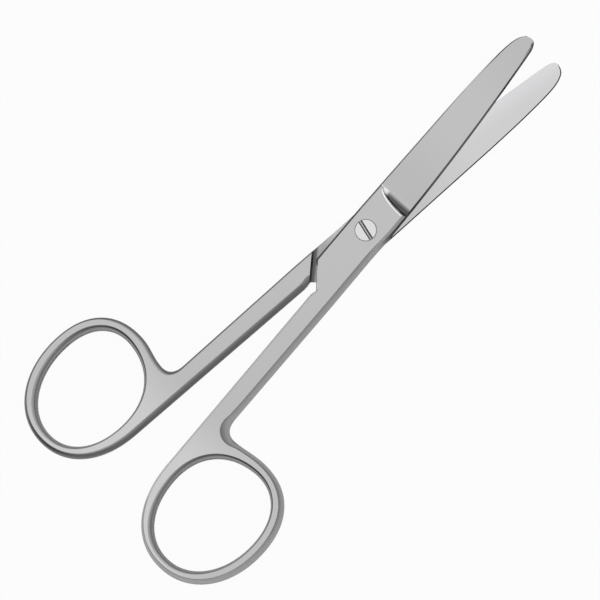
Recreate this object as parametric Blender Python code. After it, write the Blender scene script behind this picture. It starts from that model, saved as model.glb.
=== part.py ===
"""Ear cropping scissors: two forged steel halves that turn on a slotted screw.

Each half is one forging with its blade, its lap at the joint, its shank and its
finger ring. A half is modelled in its own frame: the pivot axis is Z, +Y runs to
the blade's tip, +X to its cutting edge, and the lap faces the other half at z = 0.
The rear half is the same form turned over. The model stands on the rear half's
joint face, with +Z towards the screw's head.
"""
import math
from dataclasses import dataclass

import bmesh
import bpy
from mathutils import Matrix, Vector
from mathutils.geometry import interpolate_bezier

MM = 0.001

# Opening of the two halves as they lie, and how far they still close
REST_OPENING = math.radians(10.0)
CLOSING_TRAVEL = math.radians(4.7)

# Thicknesses, each from the lap plane to one outer face
JOINT_HALF = 2.2 * MM
RING_HALF = 1.7 * MM
TIP_HALF = 1.55 * MM
LAP_GAP = 0.2 * MM

# Blade, measured from the pivot axis. A pull is the length of a curve's handle at
# its start and at its end, a draw is how far a handle leans across the blade.
SPINE_START = 3.0 * MM
SPINE_AT_JOINT = 4.22 * MM
SPINE_AT_TIP = 2.38 * MM
SPINE_PULL = (18.0 * MM, 12.0 * MM)
SPINE_DRAW = 0.65 * MM
EDGE_START = 4.0 * MM
EDGE_AT_JOINT = 5.5 * MM
EDGE_AT_TIP = 3.1 * MM
EDGE_PULL = (14.0 * MM, 18.0 * MM)
EDGE_DRAW = 1.25 * MM
TIP_CENTRE = 1.25 * MM
TIP_ROUND_LENGTH = 7.0 * MM
TIP_ROUND_PULL = (4.0 * MM, 2.5 * MM)
TIP_ROUND_DRAW = 0.45 * MM
TIP_CORNER_LENGTH = 2.4 * MM
TIP_CORNER_PULL = (1.1 * MM, 1.6 * MM)
TIP_CORNER_DRAW = 0.2 * MM

# Ground outer face of the blade: a plane that leans to the cutting edge
GRIND_TOE = 10.3 * MM
GRIND_LEAN = 0.1
GRIND_SKIN = 0.05 * MM
GRIND_START = 0.2 * MM

# Hollow that the grinding wheel leaves against the joint. It starts beside the spine
# and widens over its run, dips under the ground plane and climbs to the joint's face.
HOLLOW_LENGTH = 2.2 * MM
HOLLOW_START = 0.7 * MM
HOLLOW_RUN = 7.4 * MM
HOLLOW_DIP = 0.24 * MM
HOLLOW_FLOOR = 0.66
HOLLOW_WALL_BEND = 1.2
HOLLOW_OVERRUN = 1.15
HOLLOW_LEAST = 0.12

# Cutting edge: its bevel, and the chamfer above it beside the joint
BEVEL_WIDTH = 0.55 * MM
BEVEL_RISE = 1.18 * MM
BEVEL_LEDGE = (0.62 * MM, 0.56 * MM)
BEVEL_SHOULDER = 1.3 * MM
BEVEL_START = -5.5 * MM
BEVEL_FULL = 5.0 * MM
CUTTING_NORMAL = (0.3, 0.9)

# Joint and shank
JOINT_SIDE = 5.24 * MM
JOINT_SIDE_START = -6.0 * MM
JOINT_PULL = (3.5 * MM, 4.0 * MM)
NOTCH_TOP = 12.1 * MM
NOTCH_SIDE = 4.36 * MM
NOTCH_DEPTH = 0.1 * MM
NECK_START = 19.2 * MM
NECK_PULL = 0.2 * MM
NOTCH_EDGE = 0.15 * MM
NOTCH_NORMAL = -0.3
SHANK_INNER_TOP = 0.28 * MM
SHANK_INNER_END = 0.7 * MM
SHANK_OUTER_TOP = 5.18 * MM
SHOULDER_CLEARANCE = 0.15 * MM
SHOULDER_SLOPE = 0.45 * MM

# Shank and ring edges are rubbed round, more on the side that leans outwards. The
# rounding starts at the face with the first tilt and meets the side with the second.
EDGE_ROUND = 0.95 * MM
EDGE_LEAN = 0.6 * MM
OUTER_FACE_TILTS = (math.radians(33.0), math.radians(46.0))
INNER_FACE_TILTS = (math.radians(18.0), math.radians(34.0))
HOLE_TILTS = (math.radians(15.0), math.radians(55.0))
SPINE_ROUND = 0.35 * MM
FILLET_ROUND = 0.55 * MM
FILLET_LEAN = 0.25 * MM
FILLET_ROUND_NEAR = 1.0 * MM
FILLET_ROUND_FAR = 5.0 * MM

# Ring rim and the fillet that joins the ring to the shank
RIM_TOP = 3.0 * MM
RIM_SIDE = 3.07 * MM
RIM_END = 2.55 * MM
RIM_TOP_BACK = 1.1 * MM
RIM_END_BACK = 0.25 * MM
RIM_NEAR_RISE = 1.9 * MM
RIM_FULLNESS = (0.63, 0.575, 0.605)
HOLE_FULLNESS = (0.61, 0.56, 0.605, 0.61)
FILLET_LENGTH = 4.0 * MM
FILLET_REACH = 3.45 * MM
FILLET_PULL = (3.1 * MM, 2.1 * MM)
CROWN_PULL = 2.4 * MM

# Slotted screw: it runs free in the front half and is turned tight into the rear
HEAD_DIAMETER = 4.9 * MM
HEAD_DEPTH = 1.1 * MM
HEAD_CHAMFER = 0.12 * MM
SCREW_DIAMETER = 3.0 * MM
SCREW_CLEARANCE = 0.08 * MM
SCREW_GRIP_CLEARANCE = 0.01 * MM
SLOT_WIDTH = 0.8 * MM
SLOT_FLOOR = 0.36 * MM
SLOT_DEPTH = 0.7 * MM
SLOT_TURN = math.radians(-18.0)

# How many straight facets stand for a round stretch, and the length of a facet
# along a straight one
QUARTER_STEPS = 22
BLADE_STEPS = 12
ROUND_STEPS = 8
HOLLOW_STEPS = 10
FLOOR_STEPS = 4
WALL_STEPS = 3
FILLET_STEPS = 12
NECK_STEPS = 3
EDGE_STEPS = 4
SCREW_SIDES = 60
LINE_PITCH = 4.2 * MM
LEAST_CUT = 0.02 * MM


@dataclass(frozen=True)
class Ring:
    """The finger hole of one half, in the half's frame."""

    centre_x: float
    centre_y: float
    width: float
    height: float
    top_lean: float
    end_lean: float
    far_rise: float
    near_rise: float


@dataclass(frozen=True)
class Half:
    """One half: where its pivot hole lies in the forging, its reach and its ring."""

    name: str
    pivot_shift: float
    tip_length: float
    notch_foot: float
    shank_end: float
    fillet_drop: float
    ring: Ring
    color: tuple


FRONT = Half(
    name="front_half",
    pivot_shift=0.0 * MM,
    tip_length=57.1 * MM,
    notch_foot=17.6 * MM,
    shank_end=4.66 * MM,
    fillet_drop=0.45 * MM,
    ring=Ring(
        centre_x=14.37 * MM,
        centre_y=-71.93 * MM,
        width=22.8 * MM,
        height=27.55 * MM,
        top_lean=1.6 * MM,
        end_lean=0.5 * MM,
        far_rise=2.2 * MM,
        near_rise=0.3 * MM,
    ),
    color=(0.50, 0.50, 0.50, 1.0),
)
REAR = Half(
    name="rear_half",
    pivot_shift=1.04 * MM,
    tip_length=57.4 * MM,
    notch_foot=17.0 * MM,
    shank_end=4.3 * MM,
    fillet_drop=0.95 * MM,
    ring=Ring(
        centre_x=13.72 * MM,
        centre_y=-70.71 * MM,
        width=21.65 * MM,
        height=27.15 * MM,
        top_lean=2.05 * MM,
        end_lean=1.15 * MM,
        far_rise=2.9 * MM,
        near_rise=-0.85 * MM,
    ),
    color=(0.58, 0.58, 0.59, 1.0),
)


def line(start, end):
    """Points along a straight stretch, without its last one."""
    steps = round((end - start).length / LINE_PITCH)
    return [start.lerp(end, i / steps) for i in range(steps)]


def bezier(start, handle_a, handle_b, end, steps):
    """Points along a round stretch, without its last one."""
    return list(interpolate_bezier(start, handle_a, handle_b, end, steps + 1))[:-1]


def quarter(start, end, along_x, fullness):
    """A quarter of an oval; fullness pulls it towards the corner of its box."""
    corner = Vector((end.x, start.y)) if along_x else Vector((start.x, end.y))
    handle_a = start.lerp(corner, fullness)
    handle_b = end.lerp(corner, fullness)
    return bezier(start, handle_a, handle_b, end, QUARTER_STEPS)


def hole_outline(ring):
    """The finger hole, clockwise from its highest point."""
    near = Vector((ring.centre_x - ring.width / 2, ring.centre_y + ring.near_rise))
    far = Vector((ring.centre_x + ring.width / 2, ring.centre_y + ring.far_rise))
    top = Vector((ring.centre_x + ring.top_lean, ring.centre_y + ring.height / 2))
    end = Vector((ring.centre_x - ring.end_lean, ring.centre_y - ring.height / 2))
    points = []
    corners = (top, far, end, near, top)
    for i, fullness in enumerate(HOLE_FULLNESS):
        points += quarter(corners[i], corners[i + 1], i % 2 == 0, fullness)
    return points


def blade_outline(tip_length):
    """Spine, blunt tip and cutting edge, from the joint's spine side."""
    spine_root = Vector((-SPINE_AT_JOINT, SPINE_START))
    spine_end = Vector((-SPINE_AT_TIP, tip_length - TIP_ROUND_LENGTH))
    tip = Vector((TIP_CENTRE, tip_length))
    edge_end = Vector((EDGE_AT_TIP, tip_length - TIP_CORNER_LENGTH))
    edge_root = Vector((EDGE_AT_JOINT, EDGE_START))
    spine_x = -SPINE_AT_JOINT + SPINE_DRAW
    points = bezier(
        spine_root,
        Vector((spine_x, spine_root.y + SPINE_PULL[0])),
        Vector((spine_x, spine_end.y - SPINE_PULL[1])),
        spine_end,
        BLADE_STEPS,
    )
    points += bezier(
        spine_end,
        Vector((spine_end.x + TIP_ROUND_DRAW, spine_end.y + TIP_ROUND_PULL[0])),
        Vector((tip.x - TIP_ROUND_PULL[1], tip.y)),
        tip,
        BLADE_STEPS,
    )
    points += bezier(
        tip,
        Vector((tip.x + TIP_CORNER_PULL[0], tip.y)),
        Vector((edge_end.x - TIP_CORNER_DRAW, edge_end.y + TIP_CORNER_PULL[1])),
        edge_end,
        ROUND_STEPS,
    )
    points += bezier(
        edge_end,
        Vector((edge_end.x + EDGE_DRAW, edge_end.y - EDGE_PULL[0])),
        Vector((edge_root.x, edge_root.y + EDGE_PULL[1])),
        edge_root,
        BLADE_STEPS,
    )
    return points


def fillet_corner(half):
    """Where the shank's outer side and the ring's crown would meet without a fillet."""
    return Vector((half.shank_end, ring_top_y(half) + RIM_TOP - half.fillet_drop))


def half_outline(half):
    """The whole outline of a half, clockwise, with the pivot at the origin."""
    ring = half.ring
    top_x = ring.centre_x + ring.top_lean - RIM_TOP_BACK
    end_x = ring.centre_x - ring.end_lean + RIM_END_BACK
    ring_top = Vector((top_x, ring_top_y(half) + RIM_TOP))
    ring_far = Vector((ring.centre_x + ring.width / 2 + RIM_SIDE, ring.centre_y + ring.far_rise))
    ring_end = Vector((end_x, ring.centre_y - ring.height / 2 - RIM_END))
    ring_near = Vector((-SHANK_INNER_END, ring.centre_y + ring.near_rise + RIM_NEAR_RISE))
    fillet_end = fillet_corner(half) + Vector((FILLET_REACH, 0.0))
    fillet_start = fillet_corner(half) + Vector((0.0, FILLET_LENGTH))
    neck = Vector((-SHANK_INNER_TOP, -NECK_START))
    notch_foot = Vector((NOTCH_DEPTH, -half.notch_foot))
    notch_top = Vector((-NOTCH_SIDE, -NOTCH_TOP))
    notch_way = (notch_top - notch_foot).normalized()
    spine_root = Vector((-SPINE_AT_JOINT, SPINE_START))
    joint_side = Vector((JOINT_SIDE, JOINT_SIDE_START))
    edge_root = Vector((EDGE_AT_JOINT, EDGE_START))
    shank_top = Vector((SHANK_OUTER_TOP, -half.notch_foot))

    points = line(notch_top, spine_root)
    points += blade_outline(half.tip_length)
    points += bezier(
        edge_root,
        Vector((edge_root.x, edge_root.y - JOINT_PULL[0])),
        Vector((joint_side.x, joint_side.y + JOINT_PULL[1])),
        joint_side,
        ROUND_STEPS,
    )
    points += line(joint_side, shank_top)
    points += line(shank_top, fillet_start)
    points += bezier(
        fillet_start,
        Vector((fillet_start.x, fillet_start.y - FILLET_PULL[0])),
        Vector((fillet_end.x - FILLET_PULL[1], fillet_end.y)),
        fillet_end,
        FILLET_STEPS,
    )
    points += bezier(
        fillet_end,
        Vector((fillet_end.x + CROWN_PULL, fillet_end.y)),
        Vector((ring_top.x - CROWN_PULL, ring_top.y)),
        ring_top,
        ROUND_STEPS,
    )
    corners = (ring_top, ring_far, ring_end, ring_near)
    for i, fullness in enumerate(RIM_FULLNESS):
        points += quarter(corners[i], corners[i + 1], i % 2 == 0, fullness)
    points += line(ring_near, neck)
    points += bezier(
        neck,
        Vector((neck.x, (neck.y + notch_foot.y) / 2)),
        notch_foot - notch_way * NECK_PULL,
        notch_foot,
        NECK_STEPS,
    )
    points += line(notch_foot, notch_top)
    return points


def ease(value, low, high):
    """0 below low, 1 above high, and a smooth change between."""
    t = min(max((value - low) / (high - low), 0.0), 1.0)
    return t * t * (3.0 - 2.0 * t)


def ring_top_y(half):
    """Where the finger hole begins along the half."""
    return half.ring.centre_y + half.ring.height / 2


def half_thickness(half, y):
    """Height of the outer face over the lap plane at a place along the half."""
    if y > GRIND_TOE:
        share = (y - GRIND_TOE) / (half.tip_length - GRIND_TOE)
        return JOINT_HALF + (TIP_HALF - JOINT_HALF) * share
    share = ease(-y, half.notch_foot, -ring_top_y(half))
    return JOINT_HALF + (RING_HALF - JOINT_HALF) * share


def rounded_profile(width, tilts):
    """A rubbed edge as (inset, drop) pairs, from its face to its side."""
    first, last = tilts
    radius = width / (math.sin(last) - math.sin(first))
    pairs = []
    for i in range(EDGE_STEPS + 1):
        tilt = first + (last - first) * i / EDGE_STEPS
        inset = radius * (math.sin(last) - math.sin(tilt))
        pairs.append(Vector((inset, radius * (math.cos(first) - math.cos(tilt)))))
    return pairs


def ground_profile(thickness):
    """A cutting edge as (inset, drop) pairs: a chamfer, a ledge, then the bevel."""
    bevel_top = Vector((BEVEL_WIDTH, thickness - BEVEL_RISE))
    edge = Vector((0.0, thickness))
    pairs = [Vector((BEVEL_SHOULDER, 0.0)), Vector(BEVEL_LEDGE)]
    bevel_steps = EDGE_STEPS - len(pairs)
    pairs += [bevel_top.lerp(edge, i / bevel_steps) for i in range(bevel_steps + 1)]
    return pairs


def edge_profile(half, point, normal, side, tilts):
    """The edge of one face at a place on the outline, as (inset, drop) pairs."""
    width = EDGE_ROUND + EDGE_LEAN * normal.x * side
    in_notch = NECK_START > -point.y > NOTCH_TOP and normal.y < NOTCH_NORMAL
    if side > 0 and in_notch:
        width = NOTCH_EDGE
    corner_distance = (point - fillet_corner(half)).length
    near_fillet = 1.0 - ease(corner_distance, FILLET_ROUND_NEAR, FILLET_ROUND_FAR)
    width += (FILLET_ROUND + FILLET_LEAN * side) * near_fillet
    blade = ease(point.y, BEVEL_START, BEVEL_FULL)
    cutting = blade * ease(normal.x, *CUTTING_NORMAL)
    width += (SPINE_ROUND - width) * (blade - cutting)
    plain = rounded_profile(width, tilts)
    if side < 0:
        return plain
    ground = ground_profile(half_thickness(half, point.y))
    return [a.lerp(b, cutting) for a, b in zip(plain, ground)]


def loop_normals(points, outward):
    """At each corner, the mean normal of its two sides and its mitre length."""
    result = []
    count = len(points)
    for i, point in enumerate(points):
        before = (point - points[i - 1]).normalized()
        after = (points[(i + 1) % count] - point).normalized()
        normal_a = Vector((-before.y, before.x)) * outward
        normal_b = Vector((-after.y, after.x)) * outward
        mean = (normal_a + normal_b).normalized()
        mitre = min(1.0 / max(mean.dot(normal_a), 0.5), 1.5)
        result.append((mean, mitre))
    return result


def add_loops(bm, half, points, outward, tilts):
    """Vertex loops of one outline, from the inner face's to the outer face's."""
    normals = loop_normals(points, outward)
    profiles = {}
    for side in (-1, 1):
        profiles[side] = [
            edge_profile(half, point, normal, side, tilts[side])
            for point, (normal, _) in zip(points, normals)
        ]
    levels = range(EDGE_STEPS + 1)
    loops = []
    for side, order in ((-1, levels), (1, reversed(levels))):
        for level in order:
            verts = []
            for i, (normal, mitre) in enumerate(normals):
                inset, drop = profiles[side][i][level]
                place = points[i] - normal * inset * mitre
                verts.append(bm.verts.new((place.x, place.y, side * (JOINT_HALF - drop))))
            loops.append(verts)
    return loops


def bridge(bm, lower, upper):
    """Side faces between two loops of equal length."""
    count = len(lower)
    for i in range(count):
        j = (i + 1) % count
        bm.faces.new((lower[i], lower[j], upper[j], upper[i]))


def loop_edges(bm, verts):
    """The edges of a closed loop."""
    count = len(verts)
    return [bm.edges.get((verts[i], verts[(i + 1) % count])) for i in range(count)]


def thin_out(bm, half):
    """Cuts a forging of even thickness across and brings its faces to their height."""
    run = -half.notch_foot - ring_top_y(half)
    steps = round(run / LINE_PITCH)
    stations = [GRIND_TOE]
    stations += [-half.notch_foot - run * i / steps for i in range(1, steps + 1)]
    for y in stations:
        bmesh.ops.bisect_plane(
            bm,
            geom=bm.verts[:] + bm.edges[:] + bm.faces[:],
            plane_co=(0.0, y, 0.0),
            plane_no=(0.0, 1.0, 0.0),
            dist=LEAST_CUT,
        )
    for vert in bm.verts:
        thinner = JOINT_HALF - half_thickness(half, vert.co.y)
        vert.co.z -= math.copysign(thinner, vert.co.z)


def forging(half, collection):
    """The solid of a half before its lap and its blade are ground."""
    bm = bmesh.new()
    rim_tilts = {-1: INNER_FACE_TILTS, 1: OUTER_FACE_TILTS}
    hole_tilts = {-1: HOLE_TILTS, 1: HOLE_TILTS}
    outer_loops = add_loops(bm, half, half_outline(half), 1.0, rim_tilts)
    hole_loops = add_loops(bm, half, hole_outline(half.ring), -1.0, hole_tilts)
    for loops in (outer_loops, hole_loops):
        for lower, upper in zip(loops, loops[1:]):
            bridge(bm, lower, upper)
    for level in (0, -1):
        rim = loop_edges(bm, outer_loops[level]) + loop_edges(bm, hole_loops[level])
        bmesh.ops.triangle_fill(bm, edges=rim, use_beauty=True, use_dissolve=False)
    thin_out(bm, half)
    bmesh.ops.translate(bm, vec=(-half.pivot_shift, 0.0, 0.0), verts=bm.verts)
    bmesh.ops.triangulate(bm, faces=bm.faces)
    bmesh.ops.recalc_face_normals(bm, faces=bm.faces)
    return object_from(bm, half.name, collection)


def object_from(bm, name, collection):
    """A mesh object made of a bmesh, which is freed."""
    mesh = bpy.data.meshes.new(name)
    bm.to_mesh(mesh)
    bm.free()
    obj = bpy.data.objects.new(name, mesh)
    collection.objects.link(obj)
    return obj


def block(bm, low, high):
    """An upright box between two corners, added to a bmesh."""
    made = bmesh.ops.create_cube(bm, size=1.0)["verts"]
    size = Vector(high) - Vector(low)
    bmesh.ops.scale(bm, vec=size, verts=made)
    bmesh.ops.translate(bm, vec=(Vector(high) + Vector(low)) / 2, verts=made)
    return made


def shoulder_line(mate):
    """The mate's notch as this half sees it when the scissors are closed."""
    closed = REST_OPENING - CLOSING_TRAVEL
    turn = Matrix.Rotation(-closed, 2)
    points = []
    for x, y in ((NOTCH_DEPTH, -mate.notch_foot), (-NOTCH_SIDE, -NOTCH_TOP)):
        points.append(turn @ Vector((mate.pivot_shift - x, y)))
    return points


def lap_cutter(half, mate, collection):
    """Clears the half's inner side from its sloping shoulder to its tip."""
    foot, top = shoulder_line(mate)
    along = (top - foot).normalized()
    outward = Vector((along.y, -along.x))
    start = foot + outward * SHOULDER_CLEARANCE
    bm = bmesh.new()
    reach = 1.5 * half.tip_length
    verts = block(bm, (-reach, 0.0, -2.0 * JOINT_HALF), (reach, reach, LAP_GAP / 2))
    for vert in verts:
        if vert.co.y < reach / 2:
            depth = LAP_GAP / 2 - vert.co.z
            vert.co.y -= SHOULDER_SLOPE * depth / (JOINT_HALF + LAP_GAP / 2)
    turn = Matrix.Rotation(math.atan2(along.y, along.x), 3, "Z")
    bmesh.ops.rotate(bm, cent=(0, 0, 0), matrix=turn, verts=verts)
    bmesh.ops.translate(bm, vec=(start.x, start.y, 0.0), verts=verts)
    return object_from(bm, half.name + "_lap_cutter", collection)


def hollow_profile(across):
    """The hollow at a distance from the spine, as (y, z) from the toe of the ground plane."""
    run = min(max((across - HOLLOW_START) / HOLLOW_RUN, 0.0), 1.0)
    share = max(math.sqrt(1.0 - (1.0 - run) ** 2), HOLLOW_LEAST)
    length = HOLLOW_LENGTH * share
    dip = HOLLOW_DIP * share * share
    climb = dip + GRIND_SKIN + GRIND_LEAN * max(across, 0.0)
    points = []
    for i in range(WALL_STEPS, 0, -1):
        rise = HOLLOW_OVERRUN * i / WALL_STEPS
        y = -length * (HOLLOW_FLOOR + (1.0 - HOLLOW_FLOOR) * rise)
        points.append((y, climb * rise ** HOLLOW_WALL_BEND - dip))
    for i in range(FLOOR_STEPS, -1, -1):
        depth = i / FLOOR_STEPS
        points.append((-length * HOLLOW_FLOOR * depth, -dip * depth * depth))
    return points


def grind_cutter(half, collection):
    """Takes the outer face of the blade down to its leaning ground plane."""
    spine_run = half.tip_length - TIP_ROUND_LENGTH - GRIND_TOE
    root_x = -SPINE_AT_JOINT + GRIND_START
    spine_turn = math.atan2(-SPINE_AT_TIP - root_x, spine_run)
    fall = (JOINT_HALF - TIP_HALF) / (half.tip_length - GRIND_TOE)
    far = 1.2 * half.tip_length
    clear = 2.0 * JOINT_HALF
    behind = -1.5 * HOLLOW_LENGTH
    side = 2.0 * HOLLOW_RUN
    stations = [-side]
    for i in range(HOLLOW_STEPS + 1):
        run = 1.0 - math.cos(math.radians(90.0) * i / HOLLOW_STEPS)
        stations.append(HOLLOW_START + HOLLOW_RUN * run)
    stations.append(side)
    bm = bmesh.new()
    loops = []
    for x in stations:
        profile = [(behind, clear), *hollow_profile(x), (far, -fall * far), (far, clear)]
        top = JOINT_HALF - GRIND_SKIN - GRIND_LEAN * x
        loops.append([bm.verts.new((x, y, z + top)) for y, z in profile])
    for first, second in zip(loops, loops[1:]):
        bridge(bm, first, second)
    bm.faces.new(loops[0])
    bm.faces.new(loops[-1])
    bmesh.ops.triangulate(bm, faces=bm.faces)
    bmesh.ops.recalc_face_normals(bm, faces=bm.faces)
    turn = Matrix.Rotation(-spine_turn, 3, "Z")
    bmesh.ops.rotate(bm, cent=(0, 0, 0), matrix=turn, verts=bm.verts)
    bmesh.ops.translate(bm, vec=(root_x - half.pivot_shift, GRIND_TOE, 0), verts=bm.verts)
    return object_from(bm, half.name + "_grind_cutter", collection)


def turned(name, profile, sides, collection):
    """A solid turned about Z from an open profile that ends on the axis."""
    bm = bmesh.new()
    verts = [bm.verts.new((radius, 0.0, z)) for radius, z in profile]
    edges = [bm.edges.new(pair) for pair in zip(verts, verts[1:])]
    bmesh.ops.spin(
        bm,
        geom=verts + edges,
        cent=(0, 0, 0),
        axis=(0, 0, 1),
        angle=math.tau,
        steps=sides,
        use_merge=True,
    )
    bmesh.ops.remove_doubles(bm, verts=bm.verts, dist=0.001 * MM)
    bmesh.ops.recalc_face_normals(bm, faces=bm.faces)
    return object_from(bm, name, collection)


def front_bore_cutter(collection):
    """Counterbore for the screw's head and running hole for its body."""
    head = HEAD_DIAMETER / 2 + SCREW_CLEARANCE
    body = SCREW_DIAMETER / 2 + SCREW_CLEARANCE
    seat = JOINT_HALF - HEAD_DEPTH - SCREW_CLEARANCE
    profile = [
        (0.0, 2.0 * JOINT_HALF),
        (head, 2.0 * JOINT_HALF),
        (head, seat),
        (body, seat),
        (body, -JOINT_HALF),
        (0.0, -JOINT_HALF),
    ]
    return turned("front_bore_cutter", profile, SCREW_SIDES, collection)


def rear_bore_cutter(collection):
    """Hole that grips the screw's lower end."""
    body = SCREW_DIAMETER / 2 + SCREW_GRIP_CLEARANCE
    profile = [
        (0.0, JOINT_HALF),
        (body, JOINT_HALF),
        (body, -2.0 * JOINT_HALF),
        (0.0, -2.0 * JOINT_HALF),
    ]
    return turned("rear_bore_cutter", profile, SCREW_SIDES, collection)


def pivot_screw(collection, cutters):
    """Cheese-head screw, its head flush with one half and its end with the other."""
    head = HEAD_DIAMETER / 2
    body = SCREW_DIAMETER / 2
    profile = [
        (0.0, JOINT_HALF),
        (head - HEAD_CHAMFER, JOINT_HALF),
        (head, JOINT_HALF - HEAD_CHAMFER),
        (head, JOINT_HALF - HEAD_DEPTH),
        (body, JOINT_HALF - HEAD_DEPTH),
        (body, -JOINT_HALF),
        (0.0, -JOINT_HALF),
    ]
    screw = turned("pivot_screw", profile, SCREW_SIDES, collection)
    bm = bmesh.new()
    floor = JOINT_HALF - SLOT_DEPTH
    low = (-HEAD_DIAMETER, -SLOT_FLOOR / 2, floor)
    high = (HEAD_DIAMETER, SLOT_FLOOR / 2, 2.0 * JOINT_HALF)
    verts = block(bm, low, high)
    lean = (SLOT_WIDTH - SLOT_FLOOR) / 2 / SLOT_DEPTH
    for vert in verts:
        vert.co.y += math.copysign(lean * (vert.co.z - floor), vert.co.y)
    turn = Matrix.Rotation(SLOT_TURN, 3, "Z")
    bmesh.ops.rotate(bm, cent=(0, 0, 0), matrix=turn, verts=verts)
    slot = object_from(bm, "slot_cutter", cutters)
    cut(screw, slot)
    return screw


def cut(target, cutter):
    """Takes the cutter's shape out of the target, in the target's own frame."""
    cutter.parent = target
    cutter.hide_render = True
    cutter.display_type = "WIRE"
    boolean = target.modifiers.new(cutter.name, "BOOLEAN")
    boolean.operation = "DIFFERENCE"
    boolean.solver = "EXACT"
    boolean.object = cutter


def steel(name, color, roughness):
    """Satin stainless steel."""
    material = bpy.data.materials.new(name)
    material.use_nodes = True
    shader = material.node_tree.nodes["Principled BSDF"]
    shader.inputs["Base Color"].default_value = color
    shader.inputs["Metallic"].default_value = 1.0
    shader.inputs["Roughness"].default_value = roughness
    return material


def clear_scene():
    """Removes the objects that a new scene starts with."""
    for obj in list(bpy.data.objects):
        bpy.data.objects.remove(obj, do_unlink=True)


def new_collection(name):
    """A collection linked to the scene."""
    collection = bpy.data.collections.new(name)
    bpy.context.scene.collection.children.link(collection)
    return collection


def build_half(half, mate, parts, cutters):
    """One half with its lap, its ground blade and its material."""
    obj = forging(half, parts)
    cut(obj, lap_cutter(half, mate, cutters))
    cut(obj, grind_cutter(half, cutters))
    obj.data.materials.append(steel(half.name + "_steel", half.color, 0.35))
    return obj


def main():
    """Builds the two halves and the screw, and turns them to where they lie."""
    clear_scene()
    parts = new_collection("ear_cropping_scissors")
    cutters = new_collection("cutters")

    front = build_half(FRONT, REAR, parts, cutters)
    cut(front, front_bore_cutter(cutters))
    front.location = (0.0, 0.0, JOINT_HALF)
    front.rotation_euler = (0.0, 0.0, REST_OPENING / 2)

    rear = build_half(REAR, FRONT, parts, cutters)
    cut(rear, rear_bore_cutter(cutters))
    rear.location = (0.0, 0.0, JOINT_HALF)
    rear.rotation_euler = (0.0, math.pi, -REST_OPENING / 2)

    screw = pivot_screw(parts, cutters)
    screw.location = (0.0, 0.0, JOINT_HALF)
    screw.rotation_euler = (0.0, 0.0, REST_OPENING / 2)
    screw.data.materials.append(steel("screw_steel", (0.70, 0.70, 0.70, 1.0), 0.3))


main()
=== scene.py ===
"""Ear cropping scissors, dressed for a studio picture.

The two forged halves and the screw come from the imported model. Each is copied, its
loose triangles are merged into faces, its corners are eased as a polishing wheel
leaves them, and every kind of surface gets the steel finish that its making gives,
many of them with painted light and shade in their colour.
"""
import logging
import math
from abc import ABC, abstractmethod
from dataclasses import dataclass, replace
from enum import Enum

import bmesh
import bpy
from mathutils import Matrix, Vector

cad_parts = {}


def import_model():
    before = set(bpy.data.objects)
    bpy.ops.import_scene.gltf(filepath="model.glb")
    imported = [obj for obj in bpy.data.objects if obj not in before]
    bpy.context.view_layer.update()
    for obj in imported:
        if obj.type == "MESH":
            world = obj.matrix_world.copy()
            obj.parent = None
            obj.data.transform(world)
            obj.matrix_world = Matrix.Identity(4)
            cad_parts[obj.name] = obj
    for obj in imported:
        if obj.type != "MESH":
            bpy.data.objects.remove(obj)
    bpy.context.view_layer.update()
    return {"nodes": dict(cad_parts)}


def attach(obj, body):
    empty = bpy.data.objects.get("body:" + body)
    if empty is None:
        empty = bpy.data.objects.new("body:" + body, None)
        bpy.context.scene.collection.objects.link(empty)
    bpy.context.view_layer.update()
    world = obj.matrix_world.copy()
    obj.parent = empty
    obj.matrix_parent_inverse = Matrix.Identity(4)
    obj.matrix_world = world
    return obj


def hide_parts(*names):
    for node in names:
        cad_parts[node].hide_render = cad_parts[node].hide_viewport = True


MM = 0.001

Colour = tuple[float, float, float, float]
WHITE: Colour = (1.0, 1.0, 1.0, 1.0)

# The sRGB curve: a straight toe, and a power above it
SRGB_TOE = 0.04045
SRGB_SLOPE = 12.92
SRGB_OFFSET = 0.055
SRGB_POWER = 2.4

# Scale of the marks' pattern in their own direction, which makes them long and narrow
MARK_STRETCH = 0.06

# Share of the fine marks in the wandering of the roughness, the rest being the waves',
# and the range that the mix of both has
MARK_SHARE = 0.6
MIX_LOW = 0.3
MIX_HIGH = 0.7

# What the bevel operator takes for the finish of the faces beside a corner
AS_BESIDE = -1

log = logging.getLogger("scissors")


def linear(hex_colour: str) -> Colour:
    """Turn an sRGB hex colour to linear light.

    Args:
        hex_colour: Six hex digits, such as "C0C2C4".

    Returns:
        Red, green, blue and an alpha of 1, in linear light.
    """
    channels = []
    for i in range(0, len(hex_colour), 2):
        value = int(hex_colour[i:i + 2], 16) / 255
        toe = value / SRGB_SLOPE
        curve = ((value + SRGB_OFFSET) / (1.0 + SRGB_OFFSET)) ** SRGB_POWER
        channels.append(toe if value <= SRGB_TOE else curve)
    return (channels[0], channels[1], channels[2], 1.0)


def add_node(
    tree: bpy.types.NodeTree,
    kind: str,
    settings: dict[str, object] | None = None,
    inputs: dict[str | int, object] | None = None,
) -> bpy.types.Node:
    """Add a node with its settings, values and links.

    Args:
        tree: The node tree that gets the node.
        kind: The node's type name in Blender.
        settings: Attributes of the node.
        inputs: Socket name or number to a value, or to an output socket to link.

    Returns:
        The new node.
    """
    node = tree.nodes.new(kind)
    for name, value in (settings or {}).items():
        setattr(node, name, value)
    for name, value in (inputs or {}).items():
        if isinstance(value, bpy.types.NodeSocket):
            tree.links.new(value, node.inputs[name])
        else:
            node.inputs[name].default_value = value
    return node


class Lay(Enum):
    """The direction of the fine marks that a finish leaves, as scales of their pattern."""

    ALONG = (1.0, MARK_STRETCH, 1.0)
    ACROSS = (MARK_STRETCH, 1.0, 1.0)
    NONE = (1.0, 1.0, 1.0)


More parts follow.
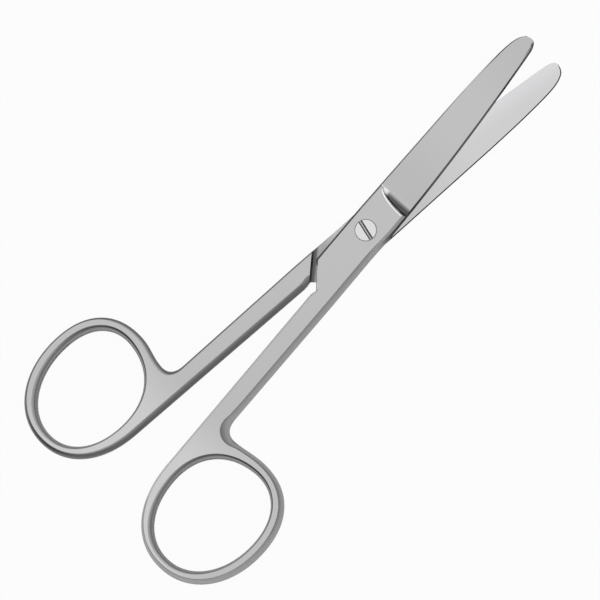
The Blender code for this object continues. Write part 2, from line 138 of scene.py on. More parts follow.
class Way(Enum):
    """A direction in a half's own plane. Its ring lies on the side of its cutting edge."""

    TO_TIP = (0.0, 1.0)
    TO_RING = (0.0, -1.0)
    TO_CUT = (1.0, 0.0)
    TO_BACK = (-1.0, 0.0)
    TO_SHOULDER = (0.715, -0.699)


@dataclass(frozen=True)
class Lie:
    """How a piece lies in the model, which gives the frame that it was drawn in.

    Attributes:
        turn: Angle of the piece about the pivot axis.
        flip: -1 for a piece that is turned over, else 1.
        shift: Distance from the middle of the forging to the pivot axis.
    """

    turn: float
    flip: float = 1.0
    shift: float = 0.0

    def own_direction(self, direction: Vector) -> Vector:
        """Turn a direction of the model to the piece's own frame, seen from above."""
        mirrored = Vector((direction.x * self.flip, direction.y, direction.z))
        return Matrix.Rotation(-self.turn, 3, "Z") @ mirrored

    def own(self, point: Vector) -> Vector:
        """Bring a point of the model to the piece's own frame, seen from above."""
        return self.own_direction(point) + Vector((self.shift, 0.0, 0.0))


@dataclass(frozen=True)
class Fade:
    """A gradual change of colour across a piece, in the piece's own plane.

    Attributes:
        colour: Colour where the change is complete, sRGB hex.
        way: Direction of the change.
        start: Place along the direction where the change begins, in metres.
        end: Place along the direction where it is complete, in metres.
        bend: How much the change's lines curve along Y, per metre.
        bend_from: Y from which they curve, in metres.
    """

    colour: str
    way: Way
    start: float
    end: float
    bend: float = 0.0
    bend_from: float = 0.0

    def mixed(
        self,
        tree: bpy.types.NodeTree,
        place: bpy.types.NodeSocket,
        before: bpy.types.NodeSocket | Colour,
    ) -> bpy.types.NodeSocket:
        """Mix the change into a colour.

        Args:
            tree: The material's node tree.
            place: The place on the piece, in its own frame.
            before: The colour without the change.

        Returns:
            The colour with the change.
        """
        parts = add_node(tree, "ShaderNodeSeparateXYZ", inputs={"Vector": place})
        past = add_node(
            tree,
            "ShaderNodeMath",
            settings={"operation": "SUBTRACT"},
            inputs={0: parts.outputs["Y"], 1: self.bend_from},
        )
        square = add_node(
            tree,
            "ShaderNodeMath",
            settings={"operation": "MULTIPLY"},
            inputs={0: past.outputs["Value"], 1: past.outputs["Value"]},
        )
        straight = add_node(
            tree,
            "ShaderNodeVectorMath",
            settings={"operation": "DOT_PRODUCT"},
            inputs={0: place, 1: (*self.way.value, 0.0)},
        )
        along = add_node(
            tree,
            "ShaderNodeMath",
            settings={"operation": "MULTIPLY_ADD"},
            inputs={0: square.outputs["Value"], 1: self.bend, 2: straight.outputs["Value"]},
        )
        share = add_node(
            tree,
            "ShaderNodeMapRange",
            settings={"interpolation_type": "SMOOTHSTEP"},
            inputs={"Value": along.outputs["Value"], "From Min": self.start, "From Max": self.end},
        )
        mix = add_node(
            tree,
            "ShaderNodeMixRGB",
            inputs={"Fac": share.outputs["Result"], "Color1": before, "Color2": linear(self.colour)},
        )
        return mix.outputs["Color"]


@dataclass(frozen=True)
class SteelFinish:
    """Stainless steel as one way of working leaves it, often with painted light and shade in its
    colour.

    Attributes:
        name: The material's name.
        colour: The steel's reflected colour, sRGB hex.
        roughness: Mean roughness.
        spread: How far the roughness wanders to each side of its mean.
        lay: Direction of the marks.
        mark: Width of one mark in metres.
        depth: Height of the marks in metres.
        wave: Spacing of the slow waves that hand work leaves, in metres.
        wave_depth: Height of those waves in metres.
        fades: Changes of colour across the piece, many of them painted light and shade.
    """

    name: str
    colour: str
    roughness: float
    spread: float
    lay: Lay
    mark: float
    depth: float
    wave: float
    wave_depth: float
    fades: tuple[Fade, ...] = ()

    def wandering_roughness(
        self,
        tree: bpy.types.NodeTree,
        marks: bpy.types.NodeSocket,
        waves: bpy.types.NodeSocket,
    ) -> bpy.types.NodeSocket:
        """Let the roughness wander with the marks and the waves.

        Args:
            tree: The material's node tree.
            marks: Pattern of the fine marks.
            waves: Pattern of the slow waves.

        Returns:
            The roughness.
        """
        fine = add_node(
            tree,
            "ShaderNodeMath",
            settings={"operation": "MULTIPLY"},
            inputs={0: marks, 1: MARK_SHARE},
        )
        both = add_node(
            tree,
            "ShaderNodeMath",
            settings={"operation": "MULTIPLY_ADD"},
            inputs={0: waves, 1: 1.0 - MARK_SHARE, 2: fine.outputs["Value"]},
        )
        roughness = add_node(
            tree,
            "ShaderNodeMapRange",
            inputs={
                "Value": both.outputs["Value"],
                "From Min": MIX_LOW,
                "From Max": MIX_HIGH,
                "To Min": self.roughness - self.spread,
                "To Max": self.roughness + self.spread,
            },
        )
        return roughness.outputs["Result"]

    def relief(
        self,
        tree: bpy.types.NodeTree,
        marks: bpy.types.NodeSocket,
        waves: bpy.types.NodeSocket,
    ) -> bpy.types.NodeSocket:
        """Raise the slow waves, and the fine marks on them.

        Args:
            tree: The material's node tree.
            marks: Pattern of the fine marks.
            waves: Pattern of the slow waves.

        Returns:
            The normal of the worked surface.
        """
        slow = add_node(
            tree,
            "ShaderNodeBump",
            inputs={"Height": waves, "Distance": self.wave_depth, "Strength": 1.0},
        )
        fine = add_node(
            tree,
            "ShaderNodeBump",
            inputs={
                "Height": marks,
                "Distance": self.depth,
                "Strength": 1.0,
                "Normal": slow.outputs["Normal"],
            },
        )
        return fine.outputs["Normal"]

    def material(self, lie: Lie) -> bpy.types.Material:
        """Make the finish as a node material.

        Args:
            lie: How the piece lies, so that marks and changes of colour follow it.

        Returns:
            The new material.
        """
        material = bpy.data.materials.new(self.name)
        material.use_nodes = True
        tree = material.node_tree
        tree.nodes.clear()
        place = add_node(tree, "ShaderNodeTexCoord")
        straight = add_node(
            tree,
            "ShaderNodeMapping",
            inputs={
                "Vector": place.outputs["Object"],
                "Location": (lie.shift, 0.0, 0.0),
                "Rotation": (0.0, 0.0, -lie.turn),
                "Scale": (lie.flip, 1.0, 1.0),
            },
        )
        stretched = add_node(
            tree,
            "ShaderNodeMapping",
            inputs={"Vector": straight.outputs["Vector"], "Scale": self.lay.value},
        )
        marks = add_node(
            tree,
            "ShaderNodeTexNoise",
            inputs={
                "Vector": stretched.outputs["Vector"],
                "Scale": 1.0 / self.mark,
                "Detail": 3.0,
                "Roughness": 0.6,
            },
        )
        waves = add_node(
            tree,
            "ShaderNodeTexNoise",
            inputs={
                "Vector": straight.outputs["Vector"],
                "Scale": 1.0 / self.wave,
                "Detail": 1.0,
                "Roughness": 0.4,
            },
        )
        colour = linear(self.colour)
        for fade in self.fades:
            colour = fade.mixed(tree, straight.outputs["Vector"], colour)
        shader = add_node(
            tree,
            "ShaderNodeBsdfPrincipled",
            inputs={
                "Base Color": colour,
                "Metallic": 1.0,
                "Roughness": self.wandering_roughness(tree, marks.outputs["Fac"], waves.outputs["Fac"]),
                "Normal": self.relief(tree, marks.outputs["Fac"], waves.outputs["Fac"]),
            },
        )
        add_node(tree, "ShaderNodeOutputMaterial", inputs={"Surface": shader.outputs["BSDF"]})
        return material


# The marks of all these finishes are drawn several times as wide as real grit leaves
# them, because finer ones don't show in the picture.

# Bead-blasted and lightly brushed: an even silvery grey with hardly any sheen lines.
# The ground blade is a little duller at its root and its tip, and the rings carry a
# painted sheen that lightens them, most on the side towards the other ring.
SATIN = SteelFinish(
    name="satin_blasted_steel",
    colour="C4C4C4",
    roughness=0.28,
    spread=0.008,
    lay=Lay.ALONG,
    mark=0.35 * MM,
    depth=0.00002 * MM,
    wave=9.0 * MM,
    wave_depth=0.003 * MM,
    fades=(
        Fade("BFBFBF", Way.TO_TIP, 9.5 * MM, 11.5 * MM),
        Fade("C5C5C5", Way.TO_TIP, 14.0 * MM, 30.0 * MM),
        Fade("BFBFBF", Way.TO_TIP, 36.0 * MM, 56.0 * MM),
        # Painted sheen: the rings are painted lighter, less so on their outer side
        Fade("D4D4D4", Way.TO_RING, 53.0 * MM, 66.0 * MM),
        Fade("C6C6C6", Way.TO_CUT, 10.0 * MM, 24.0 * MM),
    ),
)

# Flat-ground on a wheel, brighter along the blade. A painted sheen lightens it most
# towards the cutting edge, and painted shade darkens it towards the joint and the
# shoulder, darkest in the groove at the shoulder's foot.
LAPPED = SteelFinish(
    name="lapped_inner_face",
    colour="C8C8C8",
    roughness=0.24,
    spread=0.01,
    lay=Lay.ACROSS,
    mark=0.3 * MM,
    depth=0.00004 * MM,
    wave=14.0 * MM,
    wave_depth=0.003 * MM,
    fades=(
        Fade("D2D2D3", Way.TO_TIP, 8.0 * MM, 34.0 * MM),
        # Painted sheen towards the cutting edge
        Fade("DEDEE0", Way.TO_CUT, 0.5 * MM, 6.5 * MM, bend=0.92, bend_from=4.0 * MM),
        # Painted shade: darker towards the joint and the shoulder, darkest in the groove at its foot
        Fade("C6C6C6", Way.TO_RING, -17.0 * MM, -11.0 * MM),
        Fade("AAAAAA", Way.TO_SHOULDER, 7.0 * MM, 10.2 * MM),
        Fade("606060", Way.TO_SHOULDER, 10.7 * MM, 11.5 * MM),
    ),
)

# Rubbed round on a soft belt: smoother than the faces, with marks along the edge. The
# front half's carries a painted highlight away from its cut, and painted shade on the
# blade's back and round the tip.
FRONT_EDGE = SteelFinish(
    name="belt_rubbed_edge_painted_light",
    colour="CACACA",
    roughness=0.22,
    spread=0.04,
    lay=Lay.ALONG,
    mark=0.3 * MM,
    depth=0.0002 * MM,
    wave=7.0 * MM,
    wave_depth=0.008 * MM,
    fades=(
        # Painted highlight on the edges away from the cut, then painted shade on the blade's back and
        # round the tip
        Fade("F4F4F4", Way.TO_BACK, -1.0 * MM, -0.4 * MM),
        Fade("606060", Way.TO_BACK, 2.5 * MM, 4.0 * MM),
        Fade("606060", Way.TO_TIP, 42.0 * MM, 50.0 * MM),
    ),
)

# The rear half's edges are painted darker than the front half's all round: painted shade
REAR_EDGE = replace(FRONT_EDGE, name="painted_shade_rear_edge", colour="A8A8A8", fades=())

# First strip of the rounding along the shank, on the lap's side: painted shade, so that
# the face ends in a crisp dark line, less dark round the ring
EDGE_LINE = replace(
    REAR_EDGE,
    name="painted_shade_edge_line",
    colour="8A8A8A",
    fades=(Fade("A8A8A8", Way.TO_RING, 60.0 * MM, 80.0 * MM),),
)

# Inside the finger rings: painted shade, darker than the other edges
HOLE_EDGE = replace(FRONT_EDGE, name="ring_hole_edge_painted_shade", colour="BCBCBC", fades=())

# First strip of that rounding: a line of painted shade, darkest on the shank's side of the hole
HOLE_LINE = replace(
    HOLE_EDGE,
    name="ring_hole_line_painted_shade",
    colour="A0A0A0",
    fades=(Fade("6A6A6A", Way.TO_TIP, -74.0 * MM, -62.0 * MM),),
)

# The hollow that the edge of the wheel leaves: painted shade darkens it at the joint, it
# is lighter where it runs out to the blade, and a painted highlight lies towards the blade's back
HOLLOW = SteelFinish(
    name="wheel_hollow_painted_shade",
    colour="6A6A6A",
    roughness=0.3,
    spread=0.03,
    lay=Lay.ACROSS,
    mark=0.3 * MM,
    depth=0.001 * MM,
    wave=3.0 * MM,
    wave_depth=0.004 * MM,
    fades=(
        Fade("BFBFBF", Way.TO_TIP, 9.1 * MM, 10.4 * MM),
        # Painted highlight towards the blade's back
        Fade("F4F4F4", Way.TO_BACK, 1.0 * MM, 2.0 * MM),
    ),
)

# The hollow's lip on the joint, with a painted highlight
LIP = SteelFinish(
    name="painted_highlight_lip",
    colour="F6F6F6",
    roughness=0.2,
    spread=0.01,
    lay=Lay.ACROSS,
    mark=0.3 * MM,
    depth=0.0001 * MM,
    wave=3.0 * MM,
    wave_depth=0.002 * MM,
)

# Whetted bevel and the shoulder's steep wall, painted darker with painted shade, and
# darkest where the bevel starts beside the joint
STEEP_SHADE = SteelFinish(
    name="whetted_steel_painted_shade",
    colour="C2C2C2",
    roughness=0.26,
    spread=0.03,
    lay=Lay.ALONG,
    mark=0.2 * MM,
    depth=0.0005 * MM,
    wave=5.0 * MM,
    wave_depth=0.004 * MM,
    fades=(
        Fade("989898", Way.TO_RING, 8.0 * MM, 10.5 * MM),
        Fade("545454", Way.TO_TIP, -1.5 * MM, 3.5 * MM),
        Fade("8C8C8C", Way.TO_TIP, 10.0 * MM, 20.0 * MM),
    ),
)

# Back of the blade where it meets the lap: a dark line of painted shade
BACK_CORNER = replace(STEEP_SHADE, name="painted_shade_back_corner", colour="3C3C3C", fades=())

# Turned head of the screw, brighter than the forgings
TURNED = SteelFinish(
    name="turned_screw_steel",
    colour="E2E2E2",
    roughness=0.26,
    spread=0.01,
    lay=Lay.NONE,
    mark=0.25 * MM,
    depth=0.0001 * MM,
    wave=3.0 * MM,
    wave_depth=0.002 * MM,
)

# Floor of the screw's slot, darkened a little with painted shade
SLOT_FLOOR = replace(TURNED, name="painted_shade_slot_floor", colour="B4B4B4", roughness=0.34)

# Sawn walls of the slot, painted dark with painted shade
SLOT_WALL_SHADE = SteelFinish(
    name="painted_shade_slot_wall",
    colour="484848",
    roughness=0.36,
    spread=0.03,
    lay=Lay.ALONG,
    mark=0.12 * MM,
    depth=0.001 * MM,
    wave=1.0 * MM,
    wave_depth=0.001 * MM,
)


@dataclass
class RefinedNode(ABC):
    """A CAD node's shape, merged, with eased corners and smooth shading.

    Attributes:
        node: The CAD node that the piece stands for.
        body: The body that it rides on.
        slot: The record's material slot; not used.
        lie: How the piece lies.
        ease: Width of the eased corners in metres.
        wide_ease: Width of the corners that are rubbed off more.
        close_ease: Width of the corners of a close fit.
        crease: Smallest angle between two faces that makes a corner.
        flat: Largest angle between faces that are merged into one.
        merge: Distance within which points are one.
        flat_weight: How strongly the large faces lead the shading, where 50 is neutral.
    """

    node: str
    body: str
    slot: str
    lie: Lie
    ease: float = 0.06 * MM
    wide_ease: float = 0.1 * MM
    close_ease: float = 0.008 * MM
    crease: float = math.radians(30.0)
    flat: float = math.radians(0.4)
    merge: float = 0.001 * MM
    flat_weight: int = 90

    @abstractmethod
    def finishes(self) -> list[SteelFinish]:
        """List the finishes that the piece's faces can take, in the order of its slots."""

    @abstractmethod
    def finish_of(self, face: bmesh.types.BMFace) -> SteelFinish:
        """Choose the finish of a face of the merged piece."""

    @abstractmethod
    def wide_finish(self, edge: bmesh.types.BMEdge) -> SteelFinish | None:
        """Choose the finish of a corner that is rubbed off more, or None for any other."""

    def is_fitted(self, edge: bmesh.types.BMEdge) -> bool:
        """Tell whether a corner belongs to a close fit, so that it stays nearly sharp."""
        return False

    def level(self, bm: bmesh.types.BMesh) -> None:
        """Level what polishing takes away; nothing on a plain piece."""

    def finishes_beside(self, edge: bmesh.types.BMEdge) -> set[SteelFinish]:
        """Tell which finishes meet at a corner."""
        finishes = self.finishes()
        return {finishes[face.material_index] for face in edge.link_faces}

    def bevel(
        self,
        bm: bmesh.types.BMesh,
        edges: list[bmesh.types.BMEdge],
        width: float,
        number: int,
    ) -> None:
        """Round some corners.

        Args:
            bm: The piece's mesh.
            edges: The corners.
            width: Width of the rounding on each of the two faces.
            number: The rounding's finish, by its number in the list of finishes, or
                AS_BESIDE.
        """
        bmesh.ops.bevel(
            bm,
            geom=edges,
            offset=width,
            offset_type="OFFSET",
            segments=2,
            profile=0.5,
            affect="EDGES",
            clamp_overlap=False,
            material=number,
        )

    def ease_corners(self, bm: bmesh.types.BMesh) -> None:
        """Round each corner by what its use takes off, and shade the whole piece smooth.

        Args:
            bm: The merged piece, each face with its finish.
        """
        for edge in bm.edges:
            edge.smooth = edge.calc_face_angle(0.0) < self.crease
        close = [edge for edge in bm.edges if not edge.smooth and self.is_fitted(edge)]
        self.bevel(bm, close, self.close_ease, AS_BESIDE)
        corners = [edge for edge in bm.edges if not edge.smooth and not self.is_fitted(edge)]
        wide = {edge: self.wide_finish(edge) for edge in corners}
        for number, finish in enumerate(self.finishes()):
            chosen = [edge for edge in corners if edge.is_valid and wide[edge] == finish]
            if chosen:
                self.bevel(bm, chosen, self.wide_ease, number)
        left = [edge for edge in bm.edges if not edge.smooth and not self.is_fitted(edge)]
        self.bevel(bm, left, self.ease, AS_BESIDE)
        for face in bm.faces:
            face.smooth = True
        for edge in bm.edges:
            edge.smooth = True

    def build(self, source: bpy.types.Object) -> bpy.types.Object:
        """Make the piece from its CAD node.

        Args:
            source: The CAD node's object.

        Returns:
            The finished piece.
        """
        bm = bmesh.new()
        bm.from_mesh(source.data)
        bmesh.ops.remove_doubles(bm, verts=bm.verts, dist=self.merge)
        bmesh.ops.dissolve_limit(bm, angle_limit=self.flat, verts=bm.verts, edges=bm.edges)
        self.level(bm)
        finishes = self.finishes()
        for face in bm.faces:
            face.material_index = finishes.index(self.finish_of(face))
        self.ease_corners(bm)
        name = self.node + "_steel"
        mesh = bpy.data.meshes.new(name)
        bm.to_mesh(mesh)
        bm.free()
        for finish in finishes:
            mesh.materials.append(finish.material(self.lie))
        piece = bpy.data.objects.new(name, mesh)
        bpy.context.scene.collection.objects.link(piece)
        weights = piece.modifiers.new("face_weights", "WEIGHTED_NORMAL")
        weights.mode = "FACE_AREA"
        weights.weight = self.flat_weight
        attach(piece, self.body)
        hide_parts(self.node)
        return piece


@dataclass
class ForgedHalf(RefinedNode):
    """One half of the scissors. Places along and across it are in its own frame.

    Attributes:
        edge_finish: Finish of its rounded edges.
        lap_height: Height of the plane between the two halves.
        lap_slack: Largest distance of the lap from that plane.
        outer_height: Least distance of the blade's outer side from that plane.
        face_tilt: Steepest tilt of a face that still counts as flat.
        hollow: Where the wheel's hollow lies along the half, from and to.
        hollow_reach: How far the hollow reaches to each side of the half's middle.
        hollow_tilt: Least tilt of a face of the hollow.
        hollow_side: Largest sideways share of the normal of such a face.
        lip_margin: How far before the hollow's end its lip with the painted highlight ends.
        steep: Least tilt of the bevel and of the shoulder.
        bevel_start: Where the whetted bevel begins along the half.
        bevel_end: Where it runs into the tip's rounding.
        bevel_side: Least share of its normal that points to the cut.
        shoulder: Where the shoulder lies along the half, from and to.
        shoulder_side: Least share of its normal that points to the tip.
        ring: Middle of the finger ring.
        ring_reach: Distance from it within which an edge can be the ring's inside.
        line_tilt: Largest tilt of the first strip of a rounding.
        line_side: Least share of that strip's normal that points to the back.
        back_reach: How far across the half the corner of the blade's back can lie.
        back_start: Where that corner begins along the half.
        fitted: Distance from the pivot within which corners stay sharp for the screw.
        nick_angle: Least angle of an inward fold of the nick beside the tip.
        nick_margin: How far before the bevel's end the nick can begin.
        nick_reach: Distance to the points that it is levelled to.
    """

    wide_ease: float = 0.28 * MM
    edge_finish: SteelFinish = FRONT_EDGE
    lap_height: float = 2.2 * MM
    lap_slack: float = 0.3 * MM
    outer_height: float = 0.9 * MM
    face_tilt: float = math.radians(9.0)
    hollow: tuple[float, float] = (7.6 * MM, 10.28 * MM)
    hollow_reach: float = 5.0 * MM
    hollow_tilt: float = math.radians(2.0)
    hollow_side: float = 0.6
    lip_margin: float = 0.3 * MM
    steep: float = math.radians(48.0)
    bevel_start: float = -1.5 * MM
    bevel_end: float = 51.5 * MM
    bevel_side: float = 0.8
    shoulder: tuple[float, float] = (-19.0 * MM, -11.0 * MM)
    shoulder_side: float = 0.4
    ring: Vector = Vector((13.4 * MM, -71.0 * MM, 2.2 * MM))
    ring_reach: float = 17.0 * MM
    line_tilt: float = math.radians(22.0)
    line_side: float = 0.1
    back_reach: float = 1.0 * MM
    back_start: float = 6.0 * MM
    fitted: float = 3.0 * MM
    nick_angle: float = math.radians(35.0)
    nick_margin: float = 1.0 * MM
    nick_reach: float = 1.0 * MM

    def finishes(self) -> list[SteelFinish]:
        """List the finishes that the half's faces can take, in the order of its slots."""
        return [
            SATIN,
            LAPPED,
            self.edge_finish,
            HOLLOW,
            STEEP_SHADE,
            LIP,
            HOLE_EDGE,
            BACK_CORNER,
            EDGE_LINE,
            HOLE_LINE,
        ]

    def outward(self, point: Vector) -> float:
        """Measure how far a point lies from the plane between the halves, on this half's side."""
        return (point.z - self.lap_height) * self.lie.flip

    def is_lap(self, face: bmesh.types.BMFace) -> bool:
        """Tell whether a face is the flat that laps the other half."""
        faces_mate = face.normal.z * self.lie.flip < -math.cos(self.face_tilt)
        return faces_mate and abs(self.outward(face.calc_center_median())) < self.lap_slack

    def is_coarse(self, place: Vector, normal: Vector) -> bool:
        """Tell whether a steep face belongs to the bevel or to the shoulder.

        Args:
            place: Middle of the face, in the half's own frame.
            normal: Its normal, in the same frame.

        Returns:
            True for the whetted bevel and for the shoulder's wall.
        """
        beside_cut = self.bevel_start < place.y < self.bevel_end and place.x > 0.0
        at_shoulder = self.shoulder[0] < place.y < self.shoulder[1]
        on_bevel = normal.x > self.bevel_side and beside_cut
        return on_bevel or (normal.y > self.shoulder_side and at_shoulder)

    def rounding_finish(self, place: Vector, normal: Vector, tilt: float) -> SteelFinish:
        """Choose the finish of a face of the rounded edges.

        Args:
            place: Middle of the face, in the half's own frame.
            normal: Its normal, in the same frame.
            tilt: Its tilt.

        Returns:
            The finish inside the ring, of the line of painted shade, or of the other edges.
        """
        first_strip = tilt < self.line_tilt
        from_ring = place - self.ring
        inside = from_ring.x * normal.x + from_ring.y * normal.y < 0.0
        if inside and from_ring.length < self.ring_reach:
            return HOLE_LINE if first_strip else HOLE_EDGE
        on_lap_side = normal.z * self.lie.flip < 0.0 and place.y < self.shoulder[1]
        # The first strip on the lap's side takes the line of painted shade
        crisp = first_strip and on_lap_side and normal.x < -self.line_side
        return EDGE_LINE if crisp else self.edge_finish

    def finish_of(self, face: bmesh.types.BMFace) -> SteelFinish:
        """Choose the finish of a face, by where it lies and how far it tilts.

        Args:
            face: A face of the merged half.

        Returns:
            The finish, one of the half's list.
        """
        if self.is_lap(face):
            return LAPPED
        centre = face.calc_center_median()
        place = self.lie.own(centre)
        normal = self.lie.own_direction(face.normal)
        tilt = math.acos(min(abs(normal.z), 1.0))
        at_hollow = self.hollow[0] < place.y < self.hollow[1] and abs(place.x) < self.hollow_reach
        on_outside = self.outward(centre) > self.outer_height
        if at_hollow and on_outside and normal.x < self.hollow_side:
            ground = tilt > self.hollow_tilt and normal.x > -self.hollow_side
            return HOLLOW if ground else SATIN
        # The bevel and the shoulder's wall take painted shade
        if tilt > self.steep and self.is_coarse(place, normal):
            return STEEP_SHADE
        if tilt > self.face_tilt:
            return self.rounding_finish(place, normal, tilt)
        return SATIN

    def wide_finish(self, edge: bmesh.types.BMEdge) -> SteelFinish | None:
        """Choose the finish of a corner that is rubbed off more.

        Args:
            edge: A corner of the merged half.

        Returns:
            The finish of the blade's back where it meets the lap, or of the hollow's
            lip on the joint, or None for any other corner.
        """
        place = self.lie.own((edge.verts[0].co + edge.verts[1].co) / 2)
        on_back = place.x < self.back_reach and place.y > self.back_start
        if on_back and sum(self.is_lap(face) for face in edge.link_faces) == 1:
            return BACK_CORNER
        on_lip = place.y < self.hollow[1] - self.lip_margin
        return LIP if on_lip and self.finishes_beside(edge) == {SATIN, HOLLOW} else None

    def is_fitted(self, edge: bmesh.types.BMEdge) -> bool:
        """Tell whether a corner belongs to the screw's seat, so that it stays nearly sharp."""
        return all(math.hypot(vert.co.x, vert.co.y) < self.fitted for vert in edge.verts)

    def level(self, bm: bmesh.types.BMesh) -> None:
        """Level the hair-thin nick where the bevel runs out beside the tip.

        Args:
            bm: The merged half.
        """
        for vert in bm.verts:
            folds = [edge.calc_face_angle_signed(0.0) < -self.nick_angle for edge in vert.link_edges]
            if sum(folds) > 1 and self.in_nick(vert.co):
                short = [edge for edge in vert.link_edges if edge.calc_length() < self.nick_reach]
                heights = [edge.other_vert(vert).co.z * self.lie.flip for edge in short]
                vert.co.z = max(heights) * self.lie.flip

    def in_nick(self, point: Vector) -> bool:
        """Tell whether a point lies beside the tip, on the outer face."""
        beside_tip = self.lie.own(point).y > self.bevel_end - self.nick_margin
        return beside_tip and self.outward(point) > self.outer_height


@dataclass
class PivotScrew(RefinedNode):
    """The slotted screw.

    Attributes:
        head_height: Height of the top of the head.
        head_slack: Largest distance of the top's own corners below that.
        slot_reach: Distance from the axis within which a wall belongs to the slot.
        wall_upright: Largest upright share of the normal of the slot's walls.
        floor_depth: Least depth of the slot's floor.
        floor_upright: Least upright share of its normal.
    """

    ease: float = 0.01 * MM
    wide_ease: float = 0.06 * MM
    head_height: float = 4.4 * MM
    head_slack: float = 0.1 * MM
    slot_reach: float = 0.45 * MM
    wall_upright: float = 0.4
    floor_depth: float = 0.45 * MM
    floor_upright: float = 0.9

    def finishes(self) -> list[SteelFinish]:
        """List the finishes of the screw, in the order of its slots."""
        return [TURNED, SLOT_WALL_SHADE, SLOT_FLOOR]

    def finish_of(self, face: bmesh.types.BMFace) -> SteelFinish:
        """Choose the finish of a face, by where it lies and how far it tilts.

        Args:
            face: A face of the merged screw.

        Returns:
            The finish of the slot's walls, of its floor, or of the turned rest.
        """
        if abs(face.normal.z) > self.wall_upright:
            below_head = max(vert.co.z for vert in face.verts) < self.head_height - self.floor_depth
            is_floor = face.normal.z > self.floor_upright and below_head
            return SLOT_FLOOR if is_floor else TURNED
        across = Vector((face.normal.x, face.normal.y, 0.0)).normalized()
        in_slot = abs(across.dot(face.calc_center_median())) < self.slot_reach
        return SLOT_WALL_SHADE if in_slot else TURNED

    def wide_finish(self, edge: bmesh.types.BMEdge) -> SteelFinish | None:
        """Choose the finish of a corner that is rubbed off more.

        Args:
            edge: A corner of the merged screw.

        Returns:
            The walls' painted shade for the slot's two lips, else None.
        """
        on_top = min(vert.co.z for vert in edge.verts) > self.head_height - self.head_slack
        return SLOT_WALL_SHADE if on_top and self.finishes_beside(edge) == {TURNED, SLOT_WALL_SHADE} else None


@dataclass(frozen=True)
class Patch:
    """A patch of the light tent that is darker or brighter than the rest.

    Attributes:
        direction: Direction in which it lies.
        half_angle: Angle from its middle to the middle of its soft border.
        factor: Its light, as a multiple of what the tent gives there.
        border: Half the width of the border, as a share of the half angle.
    """

    direction: Vector
    half_angle: float
    factor: float
    border: float = 0.5

    def mixed(
        self,
        tree: bpy.types.NodeTree,
        direction: bpy.types.NodeSocket,
        before: bpy.types.NodeSocket | float,
    ) -> bpy.types.NodeSocket:
        """Work the patch into the strength of the light.

        Args:
            tree: The world's node tree.
            direction: The direction that is looked in.
            before: The strength without the patch.

        Returns:
            The strength with the patch.
        """
        facing = add_node(
            tree,
            "ShaderNodeVectorMath",
            settings={"operation": "DOT_PRODUCT"},
            inputs={0: direction, 1: self.direction.normalized()},
        )
        factor = add_node(
            tree,
            "ShaderNodeMapRange",
            settings={"interpolation_type": "SMOOTHSTEP"},
            inputs={
                "Value": facing.outputs["Value"],
                "From Min": math.cos(self.half_angle * (1.0 + self.border)),
                "From Max": math.cos(self.half_angle * (1.0 - self.border)),
                "To Min": 1.0,
                "To Max": self.factor,
            },
        )
        product = add_node(
            tree,
            "ShaderNodeMath",
            settings={"operation": "MULTIPLY"},
            inputs={0: before, 1: factor.outputs["Result"]},
        )
        return product.outputs["Value"]


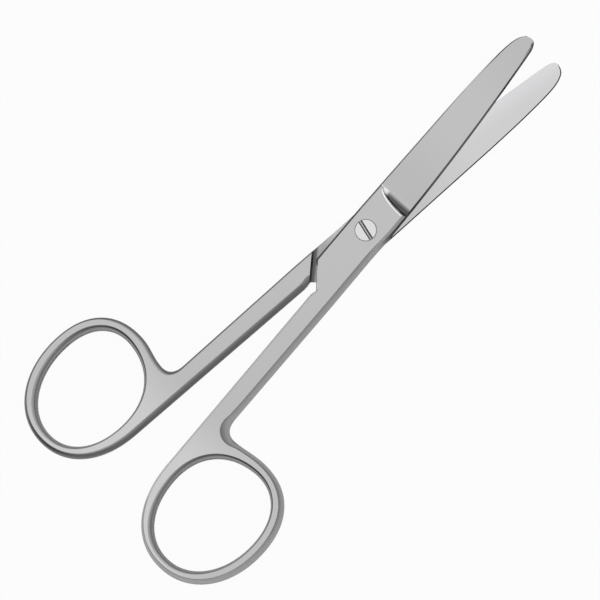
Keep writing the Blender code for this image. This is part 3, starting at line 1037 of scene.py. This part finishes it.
@dataclass
class Studio:
    """White table, soft light all round and a camera straight above.

    Attributes:
        aim: The point of the model at the middle of the picture.
        turn: Angle of the picture's right side from +X.
        view_width: Width that the picture covers at the aim.
        lens: Focal length of the camera in millimetres.
        sensor: Width of the camera's sensor in millimetres.
        table_size: Side of the table.
        table_colour: Colour of its paper, sRGB hex.
        glow: Share of plain white in the table that the camera sees. The rest is the
            lit paper, which keeps the shadow. The steel mirrors the lit paper alone.
        tent_axis: Direction of the brightest light.
        tent_levels: Cosine of the angle to that direction, and the light's level there.
        patches: Patches of the tent that differ: the photographer's shade, and two
            windows.
    """

    aim: Vector
    turn: float = math.radians(44.7)
    view_width: float = 135.44 * MM
    lens: float = 200.0
    sensor: float = 36.0
    table_size: float = 3.0
    table_colour: str = "F4F4F4"
    glow: float = 0.95
    tent_axis: Vector = Vector((0.1, 0.16, 1.0))
    tent_levels: tuple[tuple[float, float], ...] = (
        (0.0, 0.62),
        (0.12, 0.55),
        (0.36, 0.48),
        (0.52, 0.25),
        (0.66, 0.22),
        (0.8, 0.6),
        (0.9, 0.9),
        (0.98, 0.975),
    )
    patches: tuple[Patch, ...] = (
        Patch(Vector((0.0, -0.67, 0.74)), math.radians(19.0), 0.25),
        Patch(Vector((-0.41, 0.0, 0.91)), math.radians(12.0), 1.35),
        Patch(Vector((0.0, 0.47, 0.88)), math.radians(10.0), 1.6),
    )

    def camera(self) -> None:
        """Place the camera and make it the scene's own."""
        data = bpy.data.cameras.new("camera")
        data.lens = self.lens
        data.sensor_width = self.sensor
        camera = bpy.data.objects.new("camera", data)
        bpy.context.scene.collection.objects.link(camera)
        distance = self.view_width * self.lens / self.sensor
        camera.location = self.aim + Vector((0.0, 0.0, distance))
        camera.rotation_euler = (0.0, 0.0, self.turn)
        bpy.context.scene.camera = camera

    def paper(self) -> bpy.types.Material:
        """Make the table's white paper, lifted to the background's white for the camera.

        Returns:
            The new material.
        """
        material = bpy.data.materials.new("white_table")
        material.use_nodes = True
        tree = material.node_tree
        tree.nodes.clear()
        lit = add_node(tree, "ShaderNodeBsdfDiffuse", inputs={"Color": linear(self.table_colour)})
        white = add_node(tree, "ShaderNodeEmission", inputs={"Color": WHITE, "Strength": 1.0})
        rays = add_node(tree, "ShaderNodeLightPath")
        share = add_node(
            tree,
            "ShaderNodeMath",
            settings={"operation": "MULTIPLY"},
            inputs={0: rays.outputs["Is Camera Ray"], 1: self.glow},
        )
        mixed = add_node(
            tree,
            "ShaderNodeMixShader",
            inputs={0: share.outputs["Value"], 1: lit.outputs["BSDF"], 2: white.outputs["Emission"]},
        )
        add_node(tree, "ShaderNodeOutputMaterial", inputs={"Surface": mixed.outputs["Shader"]})
        return material

    def table(self) -> None:
        """Lay the white table that the scissors rest on."""
        bm = bmesh.new()
        bmesh.ops.create_grid(bm, x_segments=1, y_segments=1, size=self.table_size / 2)
        mesh = bpy.data.meshes.new("table")
        bm.to_mesh(mesh)
        bm.free()
        mesh.materials.append(self.paper())
        table = bpy.data.objects.new("table", mesh)
        bpy.context.scene.collection.objects.link(table)

    def sky(self) -> None:
        """Set the soft light: a tent with a bright top, a grey wall and a pale foot."""
        world = bpy.data.worlds.new("light_tent")
        bpy.context.scene.world = world
        world.use_nodes = True
        tree = world.node_tree
        tree.nodes.clear()
        place = add_node(tree, "ShaderNodeTexCoord")
        direction = place.outputs["Generated"]
        rise = add_node(
            tree,
            "ShaderNodeVectorMath",
            settings={"operation": "DOT_PRODUCT"},
            inputs={0: direction, 1: self.tent_axis.normalized()},
        )
        ramp = add_node(tree, "ShaderNodeValToRGB", inputs={"Fac": rise.outputs["Value"]})
        elements = ramp.color_ramp.elements
        while len(elements) < len(self.tent_levels):
            elements.new(0.5)
        for element, (position, level) in zip(elements, self.tent_levels):
            element.position = position
            element.color = (level, level, level, 1.0)
        strength = 1.0
        for patch in self.patches:
            strength = patch.mixed(tree, direction, strength)
        tent = add_node(
            tree,
            "ShaderNodeBackground",
            inputs={"Color": ramp.outputs["Color"], "Strength": strength},
        )
        white = add_node(tree, "ShaderNodeBackground", inputs={"Color": WHITE, "Strength": 1.0})
        rays = add_node(tree, "ShaderNodeLightPath")
        mixed = add_node(
            tree,
            "ShaderNodeMixShader",
            inputs={
                0: rays.outputs["Is Camera Ray"],
                1: tent.outputs["Background"],
                2: white.outputs["Background"],
            },
        )
        add_node(tree, "ShaderNodeOutputWorld", inputs={"Surface": mixed.outputs["Shader"]})

    def build(self) -> None:
        """Set up the camera, the table and the light."""
        self.camera()
        self.table()
        self.sky()
        bpy.context.scene.view_settings.view_transform = "Standard"


def main() -> None:
    """Build the scissors and the studio around them."""
    logging.basicConfig(level=logging.INFO)
    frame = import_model()
    rest_turn = math.radians(5.0)
    rear_lie = Lie(rest_turn, flip=-1.0, shift=1.04 * MM)
    pieces = (
        ForgedHalf("rear_half", "rear_body", "rear_steel", rear_lie, edge_finish=REAR_EDGE),
        ForgedHalf("front_half", "front_body", "front_steel", Lie(rest_turn)),
        PivotScrew("pivot_screw", "rear_body", "screw_steel", Lie(rest_turn)),
    )
    for piece in pieces:
        made = piece.build(frame["nodes"][piece.node])
        log.info("%s: %d faces", made.name, len(made.data.polygons))
    Studio(aim=Vector((0.54 * MM, -21.57 * MM, 2.2 * MM))).build()


if __name__ == "__main__":
    main()
